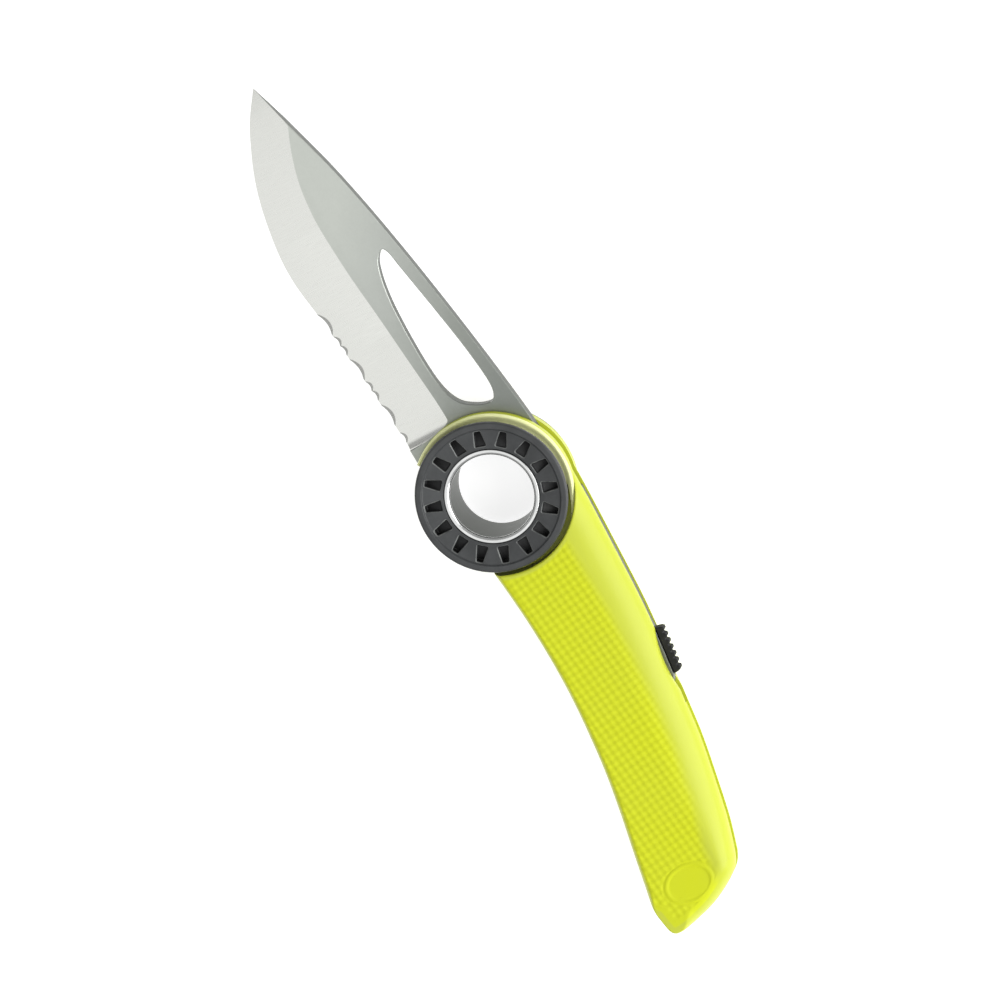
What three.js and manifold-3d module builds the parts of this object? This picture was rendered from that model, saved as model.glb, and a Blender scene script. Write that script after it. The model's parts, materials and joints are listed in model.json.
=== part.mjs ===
// A folding rigging knife with a hollow pivot, drawn open and lying on its side.
//
// Millimetres. +X runs along the blade to its tip, +Y is the side of the cutting edge and +Z goes
// through the thickness of the knife. Everything is drawn round the pivot axis at X = 0, Y = 0, with
// Z = 0 in the middle of the blade, and the finished group is then stood on its own underside.
//
// The blade, the two thumb wheels and the tube between them turn together. The lock lever is drawn
// pressed, with its tooth just clear of the tang, so the blade is free to fold.
import * as THREE from "three";
import { mergeVertices } from "three/addons/utils/BufferGeometryUtils.js";
import Module from "manifold-3d";

const wasm = await Module();
wasm.setup();

// ---------------------------------------------------------------- driving dimensions

const BLADE_HALF = 1.25;
const SLOT_HALF = 1.4;
const HEAD_TOP = 3.7;
const HANDLE_TOP = 5.8;
const WHEEL_BOTTOM = 4;
const WHEEL_TOP = 7;
const TUBE_HALF = 6;

const TUBE_BORE = 8.1;
const TUBE_RADIUS = 8.6;
const FLANGE_RADIUS = 9.2;
const RING_BORE = 8.75;
const DRIVE_CIRCLE = 10.1;
const HUB_RADIUS = 11.4;
const TANG_RADIUS = 13.9;
const WHEEL_RADIUS = 14.85;
const HEAD_RADIUS = 15.7;
const RECESS_RADIUS = 15.8;
const THUMB_CUT_RADIUS = 14.2;

const FOLD_ANGLE = THREE.MathUtils.degToRad(174);
const LEVER_TRAVEL = THREE.MathUtils.degToRad(4.4);
const LEVER_PIN = { x: -34, y: -10.9, radius: 1.25, half: 3.2 };

const FIT = 0.1;
const LOOSE = 0.15;
const LOCK_GAP = 0.25;
const FULL_TURN = Math.PI * 2;

// ---------------------------------------------------------------- solids

function signedVolume(positions, index) {
  const a = new THREE.Vector3();
  const b = new THREE.Vector3();
  const c = new THREE.Vector3();
  let sum = 0;
  for (let i = 0; i < index.length; i += 3) {
    a.fromArray(positions, index[i] * 3);
    b.fromArray(positions, index[i + 1] * 3);
    c.fromArray(positions, index[i + 2] * 3);
    sum += a.dot(b.cross(c)) / 6;
  }
  return sum;
}

// A closed geometry as a solid, with its faces turned outwards if they point in.
function solid(geometry) {
  const bare = geometry.clone();
  bare.deleteAttribute("normal");
  bare.deleteAttribute("uv");
  const merged = mergeVertices(bare, 1e-4);
  const vertProperties = new Float32Array(merged.attributes.position.array);
  const triVerts = new Uint32Array(merged.index.array);
  if (signedVolume(vertProperties, triVerts) < 0) triVerts.reverse();
  return new wasm.Manifold(new wasm.Mesh({ numProp: 3, vertProperties, triVerts }));
}

function geometryOf(shape) {
  const mesh = shape.getMesh();
  const geometry = new THREE.BufferGeometry();
  geometry.setAttribute("position", new THREE.BufferAttribute(new Float32Array(mesh.vertProperties), 3));
  geometry.setIndex(new THREE.BufferAttribute(new Uint32Array(mesh.triVerts), 1));
  return geometry;
}

// A round bar along Z between two heights.
function post(radius, low, high, x = 0, y = 0, sides = 20) {
  const bar = new THREE.CylinderGeometry(radius, radius, high - low, sides);
  bar.rotateX(Math.PI / 2);
  bar.translate(x, y, (low + high) / 2);
  return solid(bar);
}

// A solid turned about the Z axis from a closed profile of [radius, height] points.
function turned(profile, sides) {
  const points = profile.map(([radius, height]) => new THREE.Vector2(radius, height));
  points.push(points[0].clone());
  const lathe = new THREE.LatheGeometry(points, sides);
  lathe.rotateX(Math.PI / 2);
  return solid(lathe);
}

// A flat plate between two heights, from an outline of Vector2 points and any holes in it.
function plate(outline, low, high, holes = []) {
  const shape = new THREE.Shape(outline);
  for (const hole of holes) shape.holes.push(new THREE.Path(hole));
  const geometry = new THREE.ExtrudeGeometry(shape, { depth: high - low, bevelEnabled: false });
  geometry.translate(0, 0, low);
  return solid(geometry);
}

function mirrored(shape) {
  const geometry = geometryOf(shape);
  geometry.scale(1, 1, -1);
  return solid(geometry);
}

// The walls between rings of points that all have the same count. Their two ends are still open.
function lofted(rings) {
  const count = rings[0].length;
  const positions = rings.flat().flatMap((point) => [point.x, point.y, point.z]);
  const index = [];
  for (let ring = 0; ring < rings.length - 1; ring += 1) {
    for (let i = 0; i < count; i += 1) {
      const here = ring * count + i;
      const next = ring * count + ((i + 1) % count);
      index.push(here, next, next + count, here, next + count, here + count);
    }
  }
  return { positions, index, count };
}

// A solid from those walls, once the faces that cap their ends are in the index.
function loftSolid({ positions, index }) {
  const geometry = new THREE.BufferGeometry();
  geometry.setAttribute("position", new THREE.Float32BufferAttribute(positions, 3));
  geometry.setIndex(index);
  return solid(geometry);
}

// ---------------------------------------------------------------- outlines

function spline(points, steps) {
  return new THREE.SplineCurve(points.map(([x, y]) => new THREE.Vector2(x, y))).getPoints(steps);
}

function arc(x, y, radius, from, to, steps) {
  const turns = Array.from({ length: steps + 1 }, (_, i) => from + ((to - from) * i) / steps);
  return turns.map((turn) => new THREE.Vector2(x + radius * Math.cos(turn), y + radius * Math.sin(turn)));
}

function rotated(points, angle, x = 0, y = 0) {
  const centre = new THREE.Vector2(x, y);
  return points.map((point) => point.clone().rotateAround(centre, angle));
}

function vectors(points) {
  return points.map(([x, y]) => new THREE.Vector2(x, y));
}

// The long convex back of the handle, from the butt to the head.
const HANDLE_SPINE = [
  [-84.5, -3.9], [-78, -6], [-70, -7.9], [-61, -9.8], [-52, -11.1], [-44, -12.35], [-36, -13.4],
  [-30, -13.95], [-20, -14.55], [-10, -15.1], [-2, -15.35],
];

// The finger side of the handle, from the head to the raised corner of the butt.
const HANDLE_BELLY = [
  [-13.2, 8.25], [-19, 7.8], [-26, 7.45], [-34, 7.4], [-42, 7.75], [-50, 8.55], [-58, 9.65],
  [-66, 11.2], [-74, 13], [-80, 14.3], [-84.5, 15.2], [-87.4, 15.25],
];

// The slanted end of the handle, from the raised corner round to the spine.
const HANDLE_BUTT = [
  [-90.65, 14.75], [-91.95, 14.1], [-92.5, 12.7], [-92.15, 9.6], [-90.95, 5.1], [-89.35, 1.5],
  [-87.5, -1.55], [-86.1, -3],
];

const SPINE_SHOULDER = 8;
const BUTT_SHOULDER = 2.6;
const CORNER_SHOULDER = 0.7;
const BELLY_SHOULDER = 1.7;
const INSIDE_SHOULDER = 0.2;

// Every outline point of the handle with the width of the rounded shoulder inside it.
function handleOutline() {
  const spine = spline(HANDLE_SPINE, 26);
  const belly = spline(HANDLE_BELLY, 24);
  const butt = spline(HANDLE_BUTT, 18);
  const outline = [];
  for (const point of spine) {
    const rise = THREE.MathUtils.smoothstep(point.x, -84, -72);
    const fall = THREE.MathUtils.smoothstep(-point.x, 2, 14);
    const width = BUTT_SHOULDER + (SPINE_SHOULDER - BUTT_SHOULDER) * rise * fall;
    outline.push({ point, width });
  }
  outline.push({ point: new THREE.Vector2(-2, -6), width: INSIDE_SHOULDER });
  for (const point of belly) outline.push({ point, width: BELLY_SHOULDER });
  for (const point of butt) {
    const near = THREE.MathUtils.smoothstep(point.y, 7, 12);
    outline.push({ point, width: THREE.MathUtils.lerp(BUTT_SHOULDER, CORNER_SHOULDER, near) });
  }
  return outline;
}

// The unit vectors that point into a counterclockwise outline, one for each point.
function inwardNormals(points) {
  return points.map((point, i) => {
    const before = points[(i + points.length - 1) % points.length];
    const after = points[(i + 1) % points.length];
    const along = after.clone().sub(before).normalize();
    return new THREE.Vector2(-along.y, along.x);
  });
}

// ---------------------------------------------------------------- handle

const BUTT_SCREW = { x: -85, y: 1.2 };
const BUTT_SCREW_SHANK = 1;
const SCREW_HEAD_RADIUS = 1.75;
const SCREW_HEAD_FLOOR = 3.9;
const SCREW_HEAD_RECESS = 0.45;
const SCREW_TIP = 3.4;
const SOCKET = { radius: 0.85, depth: 0.9 };
const INSERT_RADIUS = 1.9;
const INSERT_TOP = 4.3;
const INSERT_LID = 0.6;
const SPACER_PINS = [[-57, -8.95], [-66, -7.35], [-76.5, -4.95]];
const SPACER = { outerInset: 0.35, innerInset: 2.55, buttEnd: 5, frontEnd: -53.4, bossRadius: 2.3 };
const SPACER_PIN_RADIUS = 0.7;
const SPACER_PIN_HALF = 2.4;
const WASHER_INNER = 11.7;
const WASHER_OUTER = 13.2;
const WASHER_LOW = 1.3;
const WASHER_HIGH = 1.6;
const SHOULDER_STEPS = 5;
const THUMB_SCOOP = { x: -48.6, y: -39.15, radius: 28 };
const THUMB_CUT = { from: THREE.MathUtils.degToRad(40), to: THREE.MathUtils.degToRad(146) };
const DISC_BORE = 3;

// Half of the handle's body: flat inside, with an elliptical shoulder that is broad along the spine.
function domedBody() {
  const outline = handleOutline();
  const normals = inwardNormals(outline.map(({ point }) => point));
  const rise = HANDLE_TOP - SLOT_HALF;
  const rings = [];
  for (let step = 0; step <= SHOULDER_STEPS; step += 1) {
    const turn = (Math.PI / 2) * (step / SHOULDER_STEPS);
    const inset = 1 - Math.cos(turn);
    const height = SLOT_HALF + rise * Math.sin(turn);
    rings.push(outline.map(({ point, width }, i) => {
      const place = point.clone().addScaledVector(normals[i], width * inset);
      return new THREE.Vector3(place.x, place.y, height);
    }));
  }
  const loft = lofted(rings);
  const top = (rings.length - 1) * loft.count;
  const cap = (ring) => THREE.ShapeUtils.triangulateShape(ring.map(({ x, y }) => new THREE.Vector2(x, y)), []);
  for (const [a, b, c] of cap(rings[0])) loft.index.push(a, c, b);
  for (const [a, b, c] of cap(rings.at(-1))) loft.index.push(top + a, top + b, top + c);
  return loftSolid(loft);
}

// The round head: a low disc under the wheel, cut back where the thumb reaches the wheel's edge.
function headDisc() {
  const edge = 0.7;
  const disc = turned([
    [DISC_BORE, SLOT_HALF], [HEAD_RADIUS, SLOT_HALF], [HEAD_RADIUS, HEAD_TOP - edge],
    [HEAD_RADIUS - edge * 0.3, HEAD_TOP - edge * 0.3], [HEAD_RADIUS - edge, HEAD_TOP], [DISC_BORE, HEAD_TOP],
  ], 60);
  const { from, to } = THUMB_CUT;
  const thumbCut = plate(
    [...arc(0, 0, THUMB_CUT_RADIUS, from, to, 22), ...arc(0, 0, HEAD_RADIUS + 5, to, from, 8)],
    SLOT_HALF - 1, HANDLE_TOP + 1,
  );
  return disc.subtract(thumbCut);
}

// A long shallow scoop in the spine, where the thumb reaches the lever's pad.
function thumbScoop() {
  const { x, y, radius } = THUMB_SCOOP;
  return post(radius, 0, HANDLE_TOP + 1, x, y, 120);
}

function shellBlank() {
  let shell = domedBody();
  shell = shell.subtract(post(RECESS_RADIUS, HEAD_TOP, HANDLE_TOP + 1, 0, 0, 60));
  shell = shell.add(headDisc());
  shell = shell.subtract(post(HUB_RADIUS + LOOSE, 0, HEAD_TOP + 1, 0, 0, 48));
  shell = shell.subtract(post(WASHER_OUTER + LOOSE, 0, WASHER_HIGH + FIT, 0, 0, 48));
  shell = shell.subtract(thumbScoop());
  shell = shell.subtract(post(LEVER_PIN.radius + FIT, 0, LEVER_PIN.half + FIT, LEVER_PIN.x, LEVER_PIN.y));
  for (const [x, y] of SPACER_PINS) {
    shell = shell.subtract(post(SPACER_PIN_RADIUS + FIT, 0, SPACER_PIN_HALF + FIT, x, y, 12));
  }
  return shell;
}

function frontShell() {
  const { x, y } = BUTT_SCREW;
  return shellBlank().subtract(post(INSERT_RADIUS + FIT, 0, INSERT_TOP + FIT, x, y));
}

function rearShell() {
  const { x, y } = BUTT_SCREW;
  const shank = post(BUTT_SCREW_SHANK + LOOSE, 0, SCREW_HEAD_FLOOR + FIT, x, y);
  const seat = post(SCREW_HEAD_RADIUS + LOOSE, SCREW_HEAD_FLOOR, HANDLE_TOP + 1, x, y);
  return mirrored(shellBlank().subtract(shank).subtract(seat));
}

// The strip that closes the rear of the slot along the spine and round the corner of the butt.
function backSpacer() {
  const half = SLOT_HALF - FIT;
  const { outerInset, innerInset, buttEnd, frontEnd, bossRadius } = SPACER;
  const edge = [
    ...spline(HANDLE_BUTT, 24).filter(({ y }) => y < buttEnd),
    ...spline(HANDLE_SPINE, 40).filter(({ x }) => x < frontEnd),
  ];
  const normals = edge.map((point, i) => {
    const before = edge[Math.max(i - 1, 0)];
    const after = edge[Math.min(i + 1, edge.length - 1)];
    const along = after.clone().sub(before).normalize();
    return new THREE.Vector2(-along.y, along.x);
  });
  const outer = edge.map((point, i) => point.clone().addScaledVector(normals[i], outerInset));
  const inner = edge.map((point, i) => point.clone().addScaledVector(normals[i], innerInset));
  let spacer = plate([...outer, ...inner.reverse()], -half, half);
  spacer = spacer.add(post(bossRadius, -half, half, BUTT_SCREW.x, BUTT_SCREW.y));
  spacer = spacer.subtract(post(BUTT_SCREW_SHANK + LOOSE, -half - 1, half + 1, BUTT_SCREW.x, BUTT_SCREW.y));
  for (const [x, y] of SPACER_PINS) {
    spacer = spacer.subtract(post(SPACER_PIN_RADIUS + FIT, -half - 1, half + 1, x, y, 12));
  }
  return spacer.subtract(plate(springSlot(), -half - 1, half + 1));
}

// A flat-headed screw with a hexagon socket, driven in from the rear.
function buttScrew() {
  const { x, y } = BUTT_SCREW;
  const headLow = -HANDLE_TOP + SCREW_HEAD_RECESS;
  const headHigh = -SCREW_HEAD_FLOOR - FIT;
  const overlap = 0.2;
  const head = post(SCREW_HEAD_RADIUS, headLow, headHigh, x, y);
  const shank = post(BUTT_SCREW_SHANK, headHigh - overlap, SCREW_TIP, x, y);
  const socket = post(SOCKET.radius, headLow - 1, headLow + SOCKET.depth, x, y, 6);
  return head.add(shank).subtract(socket);
}

function buttInsert() {
  const { x, y } = BUTT_SCREW;
  const bore = post(BUTT_SCREW_SHANK + FIT, 0, INSERT_TOP - INSERT_LID, x, y);
  return post(INSERT_RADIUS, SLOT_HALF + FIT, INSERT_TOP, x, y).subtract(bore);
}

function spacerPin(x, y) {
  return post(SPACER_PIN_RADIUS, -SPACER_PIN_HALF, SPACER_PIN_HALF, x, y, 12);
}

function leverPin() {
  return post(LEVER_PIN.radius, -LEVER_PIN.half, LEVER_PIN.half, LEVER_PIN.x, LEVER_PIN.y);
}

function frontWasher() {
  return turned([
    [WASHER_INNER, WASHER_LOW], [WASHER_OUTER, WASHER_LOW], [WASHER_OUTER, WASHER_HIGH],
    [WASHER_INNER, WASHER_HIGH],
  ], 40);
}

// ---------------------------------------------------------------- spring

const SPRING_HALF_WIDTH = 1.1;
const SPRING_THICKNESS = 0.35;
const SPRING_ROOT = { x: -56.2, y: -8.25 };

// The centre line of the leaf spring, from its root in the spacer to its tip under the lever's tail.
function springLine() {
  return spline([[SPRING_ROOT.x, SPRING_ROOT.y], [-53, -8.2], [-48, -8.12], [-42.5, -8.4]], 10);
}

function springSlot() {
  const reach = 0.35;
  return vectors([
    [SPRING_ROOT.x - FIT, SPRING_ROOT.y - reach], [SPRING_ROOT.x + 4, SPRING_ROOT.y - reach],
    [SPRING_ROOT.x + 4, SPRING_ROOT.y + 2], [SPRING_ROOT.x - FIT, SPRING_ROOT.y + 2],
  ]);
}

function lockSpring() {
  const line = springLine();
  const below = line.map(({ x, y }) => new THREE.Vector2(x, y - SPRING_THICKNESS / 2));
  const above = line.map(({ x, y }) => new THREE.Vector2(x, y + SPRING_THICKNESS / 2));
  return plate([...below, ...above.reverse()], -SPRING_HALF_WIDTH, SPRING_HALF_WIDTH);
}

// ---------------------------------------------------------------- lock lever

const LEVER_HALF = 1.25;
const TOOTH = { back: -9.4, front: -7.2, backTip: -10.85, frontTip: -12.4 };
const PAD_RIVETS = [-40.4, -45.4];
const PAD_RIVET_RADIUS = 0.55;
const PAD_RIVET_LENGTH = 1.8;
const PAD_SEAT = { front: { x: -38.3, y: -13.08 }, rear: { x: -47.9, y: -11.75 } };
const PAD_RIBS = 7;
const RIB = { root: 1.15, top: 1.6, margin: 0.1 };
const TAIL_SLOPE = { rear: { x: -48.2, y: -11.6 }, front: { x: -37.8, y: -13.05 } };

// The lever from above, pressed: its tooth is at the front and its tail is under the pad.
function leverOutline() {
  return [
    ...vectors([
      [TOOTH.front, TOOTH.frontTip], [TOOTH.back, TOOTH.backTip], [TOOTH.back, -12.5], [-12.6, -12.3],
      [-16, -11.2], [-22, -10.2], [-28.5, -9.1], [-31, -8.7], [-36, -8.7], [-42, -8.85], [-49.8, -9],
    ]),
    ...vectors([
      [-50.4, -9.5], [-50.2, -10.15], [TAIL_SLOPE.rear.x, TAIL_SLOPE.rear.y],
      [TAIL_SLOPE.front.x, TAIL_SLOPE.front.y], [-37.2, -13.05], [-30, -13.75],
      [-20, -14.35], [-10, -14.85], [-7.4, -14.9], [-6.9, -14.5],
    ]),
  ];
}

function lockLever() {
  const { x, y, radius } = LEVER_PIN;
  let lever = plate(leverOutline(), -LEVER_HALF, LEVER_HALF);
  lever = lever.subtract(post(radius + LOOSE, -LEVER_HALF - 1, LEVER_HALF + 1, x, y));
  for (const place of PAD_RIVETS) lever = lever.subtract(padRivet(place, FIT));
  return lever;
}

// A small rivet across the lever's tail, which holds the pad down.
function padRivet(place, extra = 0) {
  const { rear, front } = TAIL_SLOPE;
  const radius = PAD_RIVET_RADIUS + extra;
  const rivet = new THREE.CylinderGeometry(radius, radius, PAD_RIVET_LENGTH + extra * 2, 12);
  rivet.translate(place, THREE.MathUtils.mapLinear(place, rear.x, front.x, rear.y, front.y), 0);
  return solid(rivet);
}

// The black pad on the lever's tail, with a row of ribs across it.
function thumbPad() {
  const front = new THREE.Vector2(PAD_SEAT.front.x, PAD_SEAT.front.y);
  const rear = new THREE.Vector2(PAD_SEAT.rear.x, PAD_SEAT.rear.y);
  const along = rear.clone().sub(front);
  const out = new THREE.Vector2(along.y, -along.x).normalize().negate();
  const outline = [front.clone()];
  for (let rib = 0; rib < PAD_RIBS; rib += 1) {
    for (const [part, rise] of [[0, RIB.root], [0.2, RIB.top], [0.6, RIB.top], [0.8, RIB.root]]) {
      const place = front.clone().addScaledVector(along, (rib + RIB.margin + part) / (PAD_RIBS + RIB.margin));
      outline.push(place.addScaledVector(out, rise));
    }
  }
  outline.push(rear.clone());
  let pad = plate(outline, -LEVER_HALF, LEVER_HALF);
  for (const place of PAD_RIVETS) pad = pad.subtract(padRivet(place, FIT));
  return pad;
}

// ---------------------------------------------------------------- blade

const EDGE_HALF = 0.15;
const HEEL_Y = 10.4;
const GRIND_START = 15;
const SPINE_LINE = [
  [1.9, -13.77], [10, -13.35], [20, -12.4], [30, -11.25], [40, -9.95], [50, -8.5], [60, -6.85], [70, -4.85],
  [80, -2.3], [90.2, 0.4],
];
const EDGE_LINE = [
  [90.2, 0.4], [85, 4.3], [80, 7.05], [75, 9.3], [70, 10.95], [65, 12.1], [60, 12.95], [56, 13.25],
  [52, 13.15], [46, 12.5], [38, 11.8], [30, 11.2], [22, 10.75], [16, HEEL_Y],
];
const GRIND_LINE = [
  [14, 0.9], [20, 0.9], [30, 1.5], [40, 2.1], [50, 2.8], [60, 3.1], [65, 2.8], [70, 2], [75, 0.5], [80, -1.6],
  [85, -4.2], [91, -7.6],
];
const WINDOW = [
  [51.2, -5], [48.7, -3], [42, -1.5], [32, -0.9], [23.5, -1.15], [18.8, -2.6], [16.4, -5.4], [15.5, -8.2],
  [16.5, -9.5], [19.5, -9.95], [27, -9.35], [36, -8.15], [46, -6.65], [50.2, -6],
];
const BIG_SCALLOPS = { places: [22.5, 33, 43.5], radius: 4.4, depth: 0.55 };
const SMALL_SCALLOPS = { places: [17.4, 27.2, 29.3, 37.7, 39.8], radius: 1.5, depth: 0.35 };
const OUTSIDE = -18;

// The height of a line of [x, y] points at one x, joined straight from point to point.
function lineAt(points, x) {
  const sorted = [...points].sort((a, b) => a[0] - b[0]);
  const last = sorted.length - 2;
  const found = sorted.findIndex(([here], i) => i <= last && x <= sorted[i + 1][0] && x >= here);
  const i = found < 0 ? last : found;
  return THREE.MathUtils.mapLinear(x, sorted[i][0], sorted[i + 1][0], sorted[i][1], sorted[i + 1][1]);
}

function smoothLine(points, steps) {
  return spline(points, steps).map(({ x, y }) => [x, y]);
}

function bladeBlank() {
  const spine = spline(SPINE_LINE, 22);
  const edge = spline(EDGE_LINE, 34).slice(1);
  const heel = Math.asin(HEEL_Y / TANG_RADIUS);
  const tangEnd = FULL_TURN + Math.atan2(SPINE_LINE[0][1], SPINE_LINE[0][0]);
  const tang = arc(0, 0, TANG_RADIUS, heel, tangEnd, 44).slice(0, -1);
  const window = [...new THREE.SplineCurve(vectors([...WINDOW, WINDOW[0]])).getPoints(44)].slice(0, -1);
  return plate([...spine, ...edge, ...tang], -BLADE_HALF, BLADE_HALF, [window]);
}

// The wedge of steel that the grinder takes off one side, between the grind line and the edge.
function grindCutter() {
  const grind = smoothLine(GRIND_LINE, 40);
  const edge = smoothLine(EDGE_LINE, 60);
  const past = 3;
  const above = 3;
  const rings = [];
  const stations = 24;
  for (let step = 0; step <= stations; step += 1) {
    const x = THREE.MathUtils.lerp(GRIND_START, SPINE_LINE.at(-1)[0] + 0.5, step / stations);
    const grindY = lineAt(grind, x);
    const edgeY = lineAt(edge, Math.min(x, SPINE_LINE.at(-1)[0]));
    const slope = (BLADE_HALF - EDGE_HALF) / Math.max(edgeY - grindY, 1);
    rings.push([
      new THREE.Vector3(x, grindY - (above - BLADE_HALF) / slope, above),
      new THREE.Vector3(x, edgeY + past, EDGE_HALF - past * slope),
      new THREE.Vector3(x, edgeY + past, above),
    ]);
  }
  const loft = lofted(rings);
  const end = (rings.length - 1) * loft.count;
  loft.index.push(0, 2, 1, end, end + 1, end + 2);
  return loftSolid(loft);
}

function scallops() {
  const edge = smoothLine(EDGE_LINE, 60);
  const cuts = ({ places, radius, depth }) => places.map((x) => (
    post(radius, -BLADE_HALF - 1, BLADE_HALF + 1, x, lineAt(edge, x) + radius - depth, 32)
  ));
  return [...cuts(BIG_SCALLOPS), ...cuts(SMALL_SCALLOPS)];
}

// The notch that the lever's tooth drops into: the sprung tooth, grown by the lock's clearance.
function toothNotch(angle) {
  const { back, front, backTip, frontTip } = TOOTH;
  const tooth = vectors([[front, frontTip], [back, backTip]]);
  const [frontCorner, backCorner] = rotated(tooth, LEVER_TRAVEL, LEVER_PIN.x, LEVER_PIN.y);
  const outline = [
    new THREE.Vector2(frontCorner.x + LOCK_GAP * 1.4, frontCorner.y + LOCK_GAP),
    new THREE.Vector2(backCorner.x - LOCK_GAP, backCorner.y + LOCK_GAP),
    new THREE.Vector2(backCorner.x - LOCK_GAP, OUTSIDE),
    new THREE.Vector2(frontCorner.x + LOCK_GAP * 3, OUTSIDE),
  ];
  return plate(rotated(outline, angle), -BLADE_HALF - 1, BLADE_HALF + 1);
}

function blade() {
  let steel = bladeBlank();
  const grind = grindCutter();
  steel = steel.subtract(grind).subtract(mirrored(grind));
  for (const cut of scallops()) steel = steel.subtract(cut);
  steel = steel.subtract(post(RING_BORE, -2, 2, 0, 0, 48));
  steel = steel.subtract(toothNotch(0)).subtract(toothNotch(-FOLD_ANGLE));
  for (const { x, y } of drivePlaces()) steel = steel.subtract(post(DRIVE_PIN_RADIUS + FIT, -2, 2, x, y, 16));
  return steel;
}

// ---------------------------------------------------------------- pivot

const DRIVE_PINS = 4;
const DRIVE_PIN_RADIUS = 0.75;
const DRIVE_PIN_HALF = 3.5;
const HUB_BOTTOM = 1.35;
const POCKETS = 16;
const POCKET = { inner: 9.75, outer: 13.05, innerHalf: 1.3, outerHalf: 0.8, innerFloor: 5.6, outerFloor: 4.6 };
const FACE = { innerLevel: 5.85, outer: 13.25, outerLevel: 6.65 };
const FLANGE_THICKNESS = 0.6;

function drivePlaces() {
  return Array.from({ length: DRIVE_PINS }, (_, i) => {
    const angle = (FULL_TURN * i) / DRIVE_PINS;
    return new THREE.Vector2(DRIVE_CIRCLE * Math.cos(angle), DRIVE_CIRCLE * Math.sin(angle));
  });
}

function drivePin({ x, y }) {
  return post(DRIVE_PIN_RADIUS, -DRIVE_PIN_HALF, DRIVE_PIN_HALF, x, y, 16);
}

// One grip pocket in the wheel's face: it narrows and deepens towards the rim.
function gripPocket(angle) {
  const { inner, outer, innerHalf, outerHalf, innerFloor, outerFloor } = POCKET;
  const lid = WHEEL_TOP + 1;
  const ring = (radius, half, floor) => [
    new THREE.Vector3(radius, -half, floor), new THREE.Vector3(radius, half, floor),
    new THREE.Vector3(radius, half, lid), new THREE.Vector3(radius, -half, lid),
  ];
  const loft = lofted([ring(inner, innerHalf, innerFloor), ring(outer, outerHalf, outerFloor)]);
  loft.index.push(0, 2, 1, 0, 3, 2, 4, 5, 6, 4, 6, 7);
  return loftSolid(loft).rotate([0, 0, THREE.MathUtils.radToDeg(angle)]);
}

// A thumb wheel: its hub runs in the shell's bore, its face is a shallow dish and its rim stands over the head.
function thumbWheel() {
  const bevel = 0.6;
  const seatLevel = TUBE_HALF - FLANGE_THICKNESS - FIT;
  const rimInner = 13.5;
  let wheel = turned([
    [RING_BORE, HUB_BOTTOM], [HUB_RADIUS, HUB_BOTTOM], [HUB_RADIUS, WHEEL_BOTTOM],
    [WHEEL_RADIUS - bevel / 2, WHEEL_BOTTOM], [WHEEL_RADIUS, WHEEL_BOTTOM + bevel / 2],
    [WHEEL_RADIUS, WHEEL_TOP - bevel], [WHEEL_RADIUS - bevel, WHEEL_TOP], [rimInner, WHEEL_TOP],
    [FACE.outer, FACE.outerLevel], [FLANGE_RADIUS + LOOSE, FACE.innerLevel], [FLANGE_RADIUS + LOOSE, seatLevel],
    [RING_BORE, seatLevel],
  ], 56);
  const firstPocket = THREE.MathUtils.degToRad(4);
  for (let i = 0; i < POCKETS; i += 1) {
    wheel = wheel.subtract(gripPocket(firstPocket + (FULL_TURN * i) / POCKETS));
  }
  for (const { x, y } of drivePlaces()) {
    wheel = wheel.subtract(post(DRIVE_PIN_RADIUS + FIT, 0, DRIVE_PIN_HALF + FIT, x, y, 16));
  }
  return wheel;
}

// The steel tube through everything, with a rolled flange over the front wheel.
function pivotTube() {
  const flangeLow = TUBE_HALF - FLANGE_THICKNESS;
  const outerEdge = 0.25;
  const innerEdge = 0.3;
  return turned([
    [TUBE_BORE, -TUBE_HALF], [TUBE_RADIUS, -TUBE_HALF], [TUBE_RADIUS, flangeLow], [FLANGE_RADIUS, flangeLow],
    [FLANGE_RADIUS, TUBE_HALF - outerEdge], [FLANGE_RADIUS - outerEdge, TUBE_HALF],
    [TUBE_BORE + innerEdge, TUBE_HALF], [TUBE_BORE, TUBE_HALF - innerEdge],
  ], 56);
}

// The ring pressed on the tube's rear end, which keeps the rear wheel on.
function tubeCollar() {
  const high = -TUBE_HALF + FLANGE_THICKNESS;
  return turned([
    [TUBE_RADIUS + FIT, -TUBE_HALF], [FLANGE_RADIUS, -TUBE_HALF], [FLANGE_RADIUS, high],
    [TUBE_RADIUS + FIT, high],
  ], 48);
}

// ---------------------------------------------------------------- assembly

const nylon = { color: 0xd3de2a, roughness: 0.55, metalness: 0 };
const groundSteel = { color: 0xc4c6c2, roughness: 0.35, metalness: 1 };
const plainSteel = { color: 0x9a9a97, roughness: 0.3, metalness: 1 };
const polishedSteel = { color: 0xdedede, roughness: 0.15, metalness: 1 };
const blackNylon = { color: 0x26272a, roughness: 0.6, metalness: 0 };
const bronze = { color: 0xb08d57, roughness: 0.4, metalness: 1 };
const brass = { color: 0xc9a24a, roughness: 0.4, metalness: 1 };
const blackRubber = { color: 0x17181a, roughness: 0.8, metalness: 0 };

const knife = new THREE.Group();

function place(name, shape, finish) {
  const mesh = new THREE.Mesh(geometryOf(shape), new THREE.MeshStandardMaterial(finish));
  mesh.name = name;
  knife.add(mesh);
}

place("front_shell", frontShell(), nylon);
place("rear_shell", rearShell(), nylon);
place("back_spacer", backSpacer(), nylon);
SPACER_PINS.forEach(([x, y], i) => place(`spacer_pin_${i + 1}`, spacerPin(x, y), plainSteel));
place("butt_screw", buttScrew(), plainSteel);
place("butt_insert", buttInsert(), brass);
place("lever_pin", leverPin(), plainSteel);
place("lock_spring", lockSpring(), plainSteel);
place("front_washer", frontWasher(), bronze);
place("rear_washer", mirrored(frontWasher()), bronze);

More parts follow.
